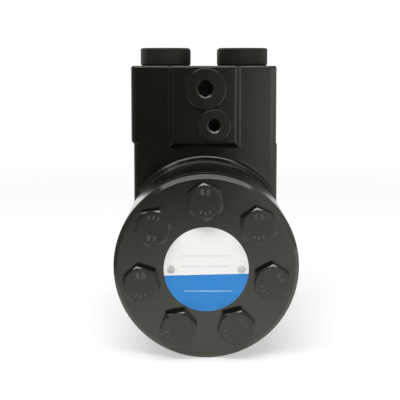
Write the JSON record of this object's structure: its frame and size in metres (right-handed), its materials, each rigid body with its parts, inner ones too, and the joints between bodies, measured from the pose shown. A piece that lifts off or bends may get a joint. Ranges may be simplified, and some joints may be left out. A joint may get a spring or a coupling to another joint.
{
  "type": "hydraulic steering unit",
  "caption": "Hydrostatic steering unit: cast valve housing with top ports, orbital gear set and bolted round end cover, driven through a splined spool.",
  "frame": {"origin": "centre of the column mounting pattern, in the mounting face, on the shaft axis", "axes": "+Y out of the mounting face along the shaft, towards the steering column; +Z towards the ports"},
  "size_m": [0.0926, 0.1874, 0.1559],
  "materials": {
    "black_casting": "semi-gloss black paint on cast iron",
    "black_steel": "semi-gloss black paint on turned steel",
    "black_bolt": "black finished steel",
    "black_plastic": "fine matt moulding",
    "plate_print": "smooth plate, plain white and blue",
    "bright_steel": "ground steel",
    "hard_steel": "polished hardened steel",
    "spring_steel": "blued spring steel",
    "seal_rubber": "nitrile rubber",
    "rivet_metal": "plain rivet"
  },
  "bodies": {
    "housing": {"housing": "black_casting", "distributor_plate": "black_steel", "gear_ring": "black_steel", "end_cover": "black_steel", "cover_bolts": "black_bolt", "pin_bolt": "black_bolt", "seal_housing": "seal_rubber", "seal_ring_front": "seal_rubber", "seal_ring_rear": "seal_rubber", "name_plate": "plate_print", "plate_rivets": "rivet_metal", "bearing_race_outer": "hard_steel", "dust_seal": "seal_rubber", "shaft_seal": "seal_rubber", "relief_plug": "black_bolt", "relief_screw": "bright_steel", "relief_spring": "spring_steel", "relief_seat": "bright_steel", "inlet_plug": "black_bolt", "inlet_spring": "spring_steel", "inlet_seat": "bright_steel", "ball_seat": "bright_steel", "port_plug_pressure": "black_plastic", "port_plug_tank": "black_plastic", "port_plug_left": "black_plastic", "port_plug_right": "black_plastic"},
    "valve_sleeve": {"sleeve": "bright_steel", "cross_pin": "bright_steel", "centering_springs": "spring_steel", "spring_ring": "spring_steel", "bearing_race_inner": "hard_steel"},
    "valve_spool": {"spool": "bright_steel"},
    "needle_set": {"bearing_cage": "bright_steel", "bearing_needles": "hard_steel"},
    "rotor_orbit": {"link_spacer": "bright_steel"},
    "rotor": {"rotor": "bright_steel"},
    "drive_link": {"drive_link": "bright_steel"},
    "relief_poppet": {"relief_poppet": "bright_steel"},
    "inlet_ball": {"inlet_ball": "hard_steel"},
    "emergency_ball": {"emergency_ball": "hard_steel"}
  },
  "joints": [
    {"name": "sleeve_turn", "type": "hinge", "parent": "housing", "child": "valve_sleeve", "pos_m": [0, -0.06, 0], "axis": [0, 1, 0], "continuous": true},
    {"name": "spool_twist", "type": "hinge", "parent": "valve_sleeve", "child": "valve_spool", "pos_m": [0, -0.06, 0], "axis": [0, 1, 0], "range_deg": [-10, 10], "stiffness_Nm_per_rad": 10, "deforming": ["centering_springs"]},
    {"name": "cage_turn", "type": "hinge", "parent": "housing", "child": "needle_set", "pos_m": [0, -0.015, 0], "axis": [0, 1, 0], "continuous": true},
    {"name": "rotor_orbit_turn", "type": "hinge", "parent": "housing", "child": "rotor_orbit", "pos_m": [0, -0.139, 0], "axis": [0, 1, 0], "continuous": true},
    {"name": "rotor_roll", "type": "hinge", "parent": "rotor_orbit", "child": "rotor", "pos_m": [-0.00005, -0.139, 0.0035], "axis": [0, 1, 0], "continuous": true},
    {"name": "link_roll", "type": "hinge", "parent": "rotor_orbit", "child": "drive_link", "pos_m": [0, -0.044, 0], "axis": [0.0007, 0.9989, -0.0473], "continuous": true},
    {"name": "relief_lift", "type": "slide", "parent": "housing", "child": "relief_poppet", "axis": [0, -1, 0], "range_m": [0, 0.0015], "stiffness_N_per_m": 15000, "springref_m": -0.01, "deforming": ["relief_spring"]},
    {"name": "inlet_lift", "type": "slide", "parent": "housing", "child": "inlet_ball", "axis": [0, -1, 0], "range_m": [0, 0.0015], "stiffness_N_per_m": 300, "springref_m": -0.003, "deforming": ["inlet_spring"]},
    {"name": "emergency_lift", "type": "slide", "parent": "housing", "child": "emergency_ball", "axis": [0, -1, 0], "range_m": [0, 0.0015]}
  ],
  "couplings": [
    {"joint": "cage_turn", "follows": "sleeve_turn", "ratio": 0.5},
    {"joint": "rotor_orbit_turn", "follows": "sleeve_turn", "ratio": -6},
    {"joint": "rotor_roll", "follows": "sleeve_turn", "ratio": 7},
    {"joint": "link_roll", "follows": "sleeve_turn", "ratio": 7}
  ]
}
